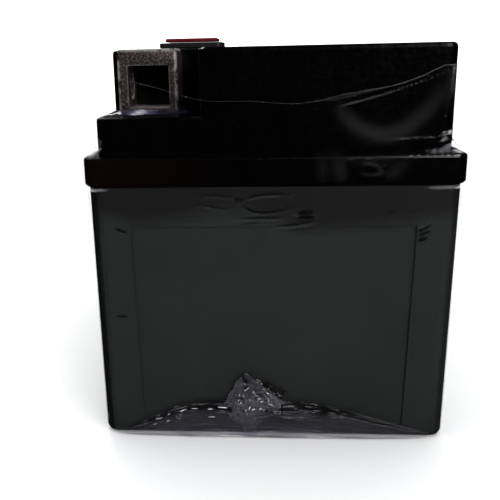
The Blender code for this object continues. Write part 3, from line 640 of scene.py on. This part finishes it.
cloud = np.clip(cloud, 0, 1)
painted_shade = np.clip(painted_shade, 0, 1)
for vert, px, py, pz, ox, oy, push in zip(bm.verts, x, y, z, nx, ny, out):
    vert.co = (px + ox * push, py + oy * push, pz)
haze_and_highlight_layer = bm.verts.layers.float.new("haze_and_highlight")
dark_layer = bm.verts.layers.float.new("dark")
for vert, light, dark in zip(bm.verts, cloud, painted_shade):
    vert[haze_and_highlight_layer] = float(light)
    vert[dark_layer] = float(dark)
bmesh.ops.remove_doubles(bm, verts=bm.verts, dist=SEAM_DISTANCE)
# The free edge is rolled over: steps out and up, in millimetres.
RIM_STEPS = ((0.05, 0.05), (0.05, -0.04), (0.01, -0.08))
rim = [e for e in bm.edges if e.is_boundary and min(v.co.z for v in e.verts) > MID_HEIGHT]
for step_out, step_up in RIM_STEPS:
    grown = bmesh.ops.extrude_edge_only(bm, edges=rim)["geom"]
    rim = [g for g in grown if isinstance(g, bmesh.types.BMEdge)]
    for vert in {v for e in rim for v in e.verts}:
        away = Vector((vert.co.x / TIER_X, vert.co.y / TIER_Y, 0))
        away = Vector((away.x, 0, 0)) if abs(away.x) > abs(away.y) else Vector((0, away.y, 0))
        vert.co += away.normalized() * step_out * MM + Vector((0, 0, step_up * MM))
        # The rolled edge has a faint haze, with a painted highlight growing towards +y, the key
        # light's side.
        vert[haze_and_highlight_layer] = 0.03 + 0.07 * max(0.0, vert.co.y / TIER_Y)
    rim = [e for e in rim if e.is_boundary]
bmesh.ops.recalc_face_normals(bm, faces=bm.faces)
film = placed(bm, "film_sleeve", smooth=False)
film.data.shade_smooth()

clear_film, shader = finish("clear_film", (0.86, 0.87, 0.92), 0.12, metallic=1.0)
haze_and_highlight = add(clear_film, "ShaderNodeAttribute", attribute_name="haze_and_highlight").outputs["Fac"]
dark = add(clear_film, "ShaderNodeAttribute", attribute_name="dark").outputs["Fac"]
glance = add(clear_film, "ShaderNodeFresnel", {"IOR": 1.45}).outputs["Fac"]
sheen = spread(clear_film, glance, 0.02, 0.3, 0.03, 1.0)
# Film colour: creases that carry light get a milky haze with painted highlights, and those that
# carry dark get a near black painted shade.
milky_and_highlight = spread(clear_film, haze_and_highlight, 0.0, 0.27, 0.0, 1.0)
painted_shade_cover = spread(clear_film, dark, 0.0, 0.92, 0.02, 0.55)
whole = sum_of(clear_film, "ADD", sheen, sum_of(clear_film, "ADD", milky_and_highlight, painted_shade_cover), True)
shade_tint = spread(clear_film, dark, 0.0, 1.0, 0.0, 0.02)
tint = mixed(clear_film, shade_tint, (0.86, 0.87, 0.92), (0.002, 0.002, 0.0025))
link(clear_film, tint, shader.inputs["Base Color"])
creased = sum_of(clear_film, "ADD", haze_and_highlight, dark, True)
link(clear_film, spread(clear_film, creased, 1.0, 0.0, 0.0, 0.06), shader.inputs["Metallic"])
link(clear_film, spread(clear_film, creased, 0.1, 0.4, 0.0, 1.0), shader.inputs["Roughness"])
ripple = cloudy(clear_film, 180.0, 3.0, stretch=(1.0, 1.0, 2.2))
link(clear_film, bumps(clear_film, ripple, 0.0002, 0.4), shader.inputs["Normal"])


def see_through(made, whole, shader):
    """Let a material be clear wherever its cover is less than one."""
    open_air = add(made, "ShaderNodeBsdfTransparent")
    blend = add(made, "ShaderNodeMixShader")
    link(made, whole, blend.inputs["Fac"])
    link(made, open_air.outputs["BSDF"], blend.inputs[1])
    link(made, shader.outputs["BSDF"], blend.inputs[2])
    output = made.node_tree.nodes["Material Output"]
    link(made, blend.outputs["Shader"], output.inputs["Surface"])


see_through(clear_film, whole, shader)
film.data.materials.append(clear_film)
carried("shrink_film", clear_film)
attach(film, "battery")
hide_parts("shrink_film")

# Gathered film. Where the tube was pinched shut low on the near end the spare film is
# crumpled into a small tab, in a few stiff overlapping leaves.
TAB_Y = -4.6 * MM
TAB_Z = 9.3 * MM
TAB_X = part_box("film_tab")[0].x
LEAF_CELLS = 116
FOLDS = 9
GLINTS = 5
GLINT_WIDTH = 0.018


def crumpled_leaf(bm, layers, seed, centre, reach, lean, base, relief, painted_shade):
    """Add one crumpled leaf of film, pointed at its corners, standing off the end."""
    rng = random.Random(seed)
    made = bmesh.ops.create_grid(
        bm, x_segments=LEAF_CELLS, y_segments=LEAF_CELLS, size=1.0
    )["verts"]
    folds = []
    for _ in range(FOLDS):
        angle = rng.uniform(0, math.pi)
        shift = rng.uniform(-0.8, 0.8)
        folds.append((math.cos(angle), math.sin(angle), shift, rng.uniform(3, 8)))
    glints = []
    for _ in range(0 if painted_shade else GLINTS):
        angle = rng.uniform(-0.9, 0.3)
        place = (rng.uniform(-0.6, 0.8), rng.uniform(-0.6, 0.7))
        glints.append((*place, math.cos(angle), math.sin(angle), rng.uniform(0.05, 0.16)))
    for vert in made:
        a, b = vert.co.x, vert.co.y
        edge = max(abs(a), abs(b))
        ragged = 1 + 0.14 * noise.noise(Vector((a * 2.4, b * 2.4, seed)))
        across = (a - b) / 2 * ragged
        rise = (a + b) / 2 * ragged
        ridge = sum(
            abs((a * c + b * s - shift) * rate % 2 - 1) - 0.5 for c, s, shift, rate in folds
        )
        rumple = 0.16 * ridge + 0.5 * noise.fractal(Vector((a * 2.6, b * 2.6, seed)), 0.6, 2.2, 4)
        lift = base + relief * (0.55 + 0.5 * rumple) * (1 - 0.55 * edge ** 3)
        side = across * math.cos(lean) - rise * math.sin(lean)
        tall = across * math.sin(lean) + rise * math.cos(lean)
        place_y = centre[0] + (side - 0.22 * abs(tall)) * reach[0]
        place_z = max(centre[1] + tall * reach[1], FILM_FOOT)
        vert.co = (TAB_X + lift, place_y, place_z)
        # Painted light: a highlight on the crests, a brighter rim at the edges and a few glints;
        # painted shade in the troughs, and darker over the upper part.
        crest = max(0.0, rumple) ** 2
        shine = 0.0
        for spot_a, spot_b, c, s, reached in glints:
            along = (a - spot_a) * c + (b - spot_b) * s
            beside = (b - spot_b) * c - (a - spot_a) * s
            shine += 1.5 * math.exp(-((along / reached) ** 2) - (beside / GLINT_WIDTH) ** 2)
        sheer = 1 - 0.75 * max(0.0, -0.35 - tall) / 0.65
        light = 0.26 + 0.7 * crest + 0.1 * edge ** 6 + shine
        light -= 0.16 * max(0.0, tall)
        vert[layers[0]] = min(1.0, light * sheer) * (1 - painted_shade)
        trough_shade_and_top_dark = max(0.0, -1.5 * rumple) + 0.95 * max(0.0, tall - 0.1) * (1 - min(1.0, shine))
        vert[layers[1]] = min(1.0, trough_shade_and_top_dark + painted_shade) * sheer
    return made


bm = bmesh.new()
layers = (bm.verts.layers.float.new("haze_and_highlight"), bm.verts.layers.float.new("dark"))
# Leaves, back to front: seed, centre off the tab's own, reach, lean, height off the end,
# relief (all but the seed and the lean in millimetres), and how much painted shade covers
# the leaf; the back one is a dark leaf of painted shade behind the tab.
LEAVES = (
    (27, (3.6, 1.9), (5.2, 4.6), 0.25, 0.1, 0.6, 0.8),
    (3, (0.0, 0.0), (7.6, 8.2), 0.05, 0.15, 1.2, 0.0),
    (11, (2.4, -0.2), (5.8, 5.0), -0.5, 0.5, 1.3, 0.0),
    (19, (-1.6, -1.8), (4.8, 5.6), 0.45, 0.7, 1.2, 0.0),
)
for seed, (off_y, off_z), (wide, tall), lean, base, relief, painted_shade in LEAVES:
    centre = (TAB_Y + off_y * MM, TAB_Z + off_z * MM)
    reach = (wide * MM, tall * MM)
    crumpled_leaf(bm, layers, seed, centre, reach, lean, base * MM, relief * MM, painted_shade)
tab = placed(bm, "film_gather", smooth=False)
tab.data.shade_smooth()
lilac_film, shader = finish("lilac_film", (0.60, 0.59, 0.68), 0.2, metallic=0.0)
haze_and_highlight = add(lilac_film, "ShaderNodeAttribute", attribute_name="haze_and_highlight").outputs["Fac"]
dark = add(lilac_film, "ShaderNodeAttribute", attribute_name="dark").outputs["Fac"]
# Colour: dark lilac where the film is plain, near white at painted highlights and glints, near
# black under painted shade.
tinge = shades(
    lilac_film,
    haze_and_highlight,
    [(0.0, (0.05, 0.05, 0.06)), (0.5, (0.13, 0.125, 0.165)), (0.8, (0.95, 0.95, 0.98))],
)
tinge = mixed(lilac_film, dark, tinge, (0.006, 0.005, 0.006))
link(lilac_film, tinge, shader.inputs["Base Color"])
shader.inputs["Coat Weight"].default_value = 0.6
shader.inputs["Coat Roughness"].default_value = 0.16
opaque = spread(lilac_film, haze_and_highlight, 0.12, 0.9, 0.0, 1.0)
opaque = sum_of(
    lilac_film, "ADD", opaque, spread(lilac_film, dark, 0.0, 0.85, 0.0, 1.0), True
)
crackle = cloudy(lilac_film, 300.0, 2.0, 0.5)
link(lilac_film, bumps(lilac_film, crackle, 0.0005, 0.9), shader.inputs["Normal"])
see_through(lilac_film, opaque, shader)
tab.data.materials.append(lilac_film)
carried("film_tab", lilac_film)
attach(tab, "battery")
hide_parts("film_tab")

# Bottom folds. Slack film is drawn in towards the gathered tab and hangs in two long
# pockets along the foot of the case, with painted shade under their upper ridge and
# painted light and dark streaks and glints below.
FOLD_FOOT = 0.3 * MM
CASE_FACE = CASE_HIGH.x - 0.1 * MM
FOLD_COLUMNS = 240
FOLD_ROWS = 132
HEM_FROM = 0.82
HEM_FLARE = 1.5
CREST_WIDTH = 0.013
# Painted highlight lines along a fold: how far down it starts, its slope and its strength.
CREST_LINES = (
    (0.16, 0.10, 1.0),
    (0.27, -0.16, 1.0),
    (0.36, 0.12, 0.8),
    (0.50, -0.22, 0.9),
    (0.58, 0.16, 0.4),
    (0.70, -0.10, 0.35),
)


def bottom_fold(name, ridge, depth, seed, glitter):
    """A pocket of slack film between a falling ridge and the foot of the case."""
    line = bend_line(ridge, 160)
    bm = bmesh.new()
    haze_and_highlight_layer = bm.verts.layers.float.new("haze_and_highlight")
    dark_layer = bm.verts.layers.float.new("dark")
    bmesh.ops.create_grid(bm, x_segments=FOLD_COLUMNS, y_segments=FOLD_ROWS, size=1.0)
    for vert in bm.verts:
        run = (vert.co.x + 1) / 2
        down = (1 - vert.co.y) / 2
        across, top = line[round(run * (len(line) - 1))]
        top += 0.25 * noise.noise(Vector((run * 9, seed, 0)))
        ends = (1 - run ** 5) ** 0.5
        streak = noise.fractal(Vector((run * 2.2, down * 7, seed)), 0.5, 2.1, 3)
        thread = noise.noise(Vector((run * 4, down * 26, seed + 3)))
        bulge = math.sin(math.pi * min(1.0, 0.06 + down * 0.94)) ** 0.7
        lift = (0.15 + depth * bulge * ends) + (0.28 * streak + 0.1 * thread) * ends
        place_z = top * MM + (FOLD_FOOT - top * MM) * down
        hem = max(0.0, down - HEM_FROM) * 5.5
        stand = max(lift, 0.1) + HEM_FLARE * hem * ends
        vert.co = (CASE_FACE + stand * MM, across * MM, place_z)
        # Painted shade in the pocket under the ridge, painted glints along the crest lines,
        # painted light and dark streaks lower down, and lighter towards the foot.
        under = math.exp(-((down - 0.13 - 0.05 * streak) / 0.15) ** 2)
        crest = 0.0
        for level, slope, strength in CREST_LINES:
            off = down - level - slope * run - 0.05 * streak
            dash = noise.noise(Vector((run * 17, level * 40, seed)))
            lit = 0.2 + max(0.0, 3.4 * dash - 0.2)
            crest += strength * math.exp(-(off / CREST_WIDTH) ** 2) * lit
        glint = crest * glitter
        low = max(0.0, down - 0.3)
        fold_shade = under * 1.7 * (1 - min(1.0, glint)) + 1.1 * max(0.0, -thread - 0.05) * low
        vert[dark_layer] = min(1.0, fold_shade * ends)
        light = glint + 0.34 * low + 0.6 * max(0.0, thread) * low + 0.3 * hem
        vert[haze_and_highlight_layer] = min(1.0, light * ends)
    made = placed(bm, name, smooth=False)
    made.data.shade_smooth()
    made.data.materials.append(lilac_film)
    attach(made, "battery")
    return made


LEFT_RIDGE = ((-3.5, 8.8), (-17.0, 9.7), (-24, 7.6), (-31, 4.6), (-39.5, 1.6))
RIGHT_RIDGE = ((-7.0, 9.6), (6, 9.6), (16.8, 8.0), (26, 5.4), (38.5, 1.6))
fold_left = bottom_fold("film_fold_left", LEFT_RIDGE, 1.1, 2.0, 0.8)
fold_right = bottom_fold("film_fold_right", RIGHT_RIDGE, 1.2, 9.0, 0.3)

# Ledge film. A loose pleat of the same film lies crumpled on the ledge below the
# negative terminal, where the sleeve bridges the open corner of the lid.
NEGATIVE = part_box("negative_terminal")
PLEAT_LENGTH_MM = 20.0
PLEAT_DEPTH_MM = 9.8
bm = bmesh.new()
haze_and_highlight_layer = bm.verts.layers.float.new("haze_and_highlight")
dark_layer = bm.verts.layers.float.new("dark")
bmesh.ops.create_grid(bm, x_segments=28, y_segments=72, size=1.0)
for vert in bm.verts:
    a, b = vert.co.x, vert.co.y
    pleat = noise.fractal(Vector((a * 0.9, b * 2.2, 5.0)), 0.4, 2.1, 3)
    rolled = abs(math.sin(b * 4.2 + a * 1.3))
    across = (NEGATIVE[0].y - 1.5 * MM) + (b + 1) / 2 * PLEAT_LENGTH_MM * MM
    along = NEGATIVE[1].x + 0.6 * MM + (a + 1) / 2 * PLEAT_DEPTH_MM * MM
    high = TIER_TOP + 0.25 * MM + (0.4 + 0.5 * abs(pleat) + 0.6 * rolled) * MM * (1 - a * a * 0.6)
    vert.co = (along + 0.3 * MM * pleat, across, high)
    # Painted highlight: a bright white patch across the pleat where the film faces up; the pleat
    # is darker towards its +y end.
    bright = math.exp(-((b + 0.2) / 0.24) ** 2)
    vert[haze_and_highlight_layer] = min(1.0, max(0.03, 0.85 * bright + 0.25 * pleat))
    vert[dark_layer] = min(1.0, max(0.0, 0.9 * (b - 0.1) + 0.5 * abs(pleat)))
pleat = placed(bm, "film_ledge_pleat", smooth=False)
pleat.data.shade_smooth()
violet_film, shader = finish("violet_film", (0.1, 0.09, 0.2), 0.18, metallic=0.0)
haze_and_highlight = add(violet_film, "ShaderNodeAttribute", attribute_name="haze_and_highlight").outputs["Fac"]
dark = add(violet_film, "ShaderNodeAttribute", attribute_name="dark").outputs["Fac"]
# Colour: violet, near white at the painted highlight, near black where darker.
tinge = shades(
    violet_film,
    haze_and_highlight,
    [(0.0, (0.025, 0.022, 0.06)), (0.5, (0.16, 0.16, 0.3)), (1.0, (0.8, 0.8, 0.84))],
)
tinge = mixed(violet_film, dark, tinge, (0.003, 0.002, 0.008))
link(violet_film, tinge, shader.inputs["Base Color"])
shader.inputs["Coat Weight"].default_value = 1.0
shader.inputs["Coat Roughness"].default_value = 0.06
crackle = cloudy(violet_film, 500.0, 3.0, 0.6)
link(violet_film, bumps(violet_film, crackle, 0.0002, 0.6), shader.inputs["Normal"])
see_through(violet_film, spread(violet_film, haze_and_highlight, 0.3, 0.85, 0.0, 1.0), shader)
pleat.data.materials.append(violet_film)
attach(pleat, "battery")

# Floor and backdrop. A pale matt paper sweep, flat under the battery, that rises well
# behind it. Gloss plastic doesn't mirror it, so black parts stay black.
SWEEP_REACH = 2.6
SWEEP_SIDE = 4.0
SWEEP_CENTRE = -1.0
RISE_FROM = -1.6
bm = bmesh.new()
bmesh.ops.create_grid(bm, x_segments=60, y_segments=2, size=1.0)
for vert in bm.verts:
    run = vert.co.x * -SWEEP_REACH + SWEEP_CENTRE
    beyond = max(0.0, RISE_FROM - run)
    vert.co = (run + 0.35 * beyond, vert.co.y * SWEEP_SIDE, 0.9 * beyond ** 1.6)
sweep = placed(bm, "floor", smooth=False)
sweep.data.shade_smooth()
pale, shader = finish("pale_floor", (0.9, 0.9, 0.9), 0.8, specular=0.05)
sweep.data.materials.append(pale)
sweep.visible_glossy = False
sweep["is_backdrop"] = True


# Lights. A soft box to the front right, a wide one overhead that shows in no gloss, a
# narrow one behind for the rims, one on the backdrop, and an even white surround.
def soft_box(name, place, aim, size, power):
    """A rectangular area light that faces a point."""
    lamp = bpy.data.lights.new(name, "AREA")
    lamp.shape = "RECTANGLE"
    lamp.size, lamp.size_y = size
    lamp.energy = power
    made = bpy.data.objects.new(name, lamp)
    made.location = place
    made.rotation_euler = (Vector(aim) - Vector(place)).to_track_quat("-Z", "Y").to_euler()
    bpy.context.scene.collection.objects.link(made)
    return made


soft_box("key", (1.15, 0.8, 0.75), aim=(0.0, 0.0, 0.05), size=(0.9, 0.7), power=12.0)
top = soft_box("top", (-0.5, 0.0, 1.7), aim=(-0.1, 0.0, 0.0), size=(2.0, 2.0), power=30.0)
top.visible_glossy = False
soft_box("rear", (-1.3, -0.5, 0.9), aim=(0.0, 0.0, 0.08), size=(0.3, 0.9), power=4.0)
soft_box("back", (-1.2, 0.0, 1.4), aim=(-2.6, 0.0, 0.5), size=(2.4, 0.8), power=40.0)
world = bpy.data.worlds.new("surround")
world.use_nodes = True
surround = world.node_tree.nodes["Background"]
surround.inputs["Color"].default_value = (0.97, 0.98, 1.0, 1.0)
surround.inputs["Strength"].default_value = 0.62
world.cycles_visibility.glossy = False
bpy.context.scene.world = world

low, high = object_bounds()
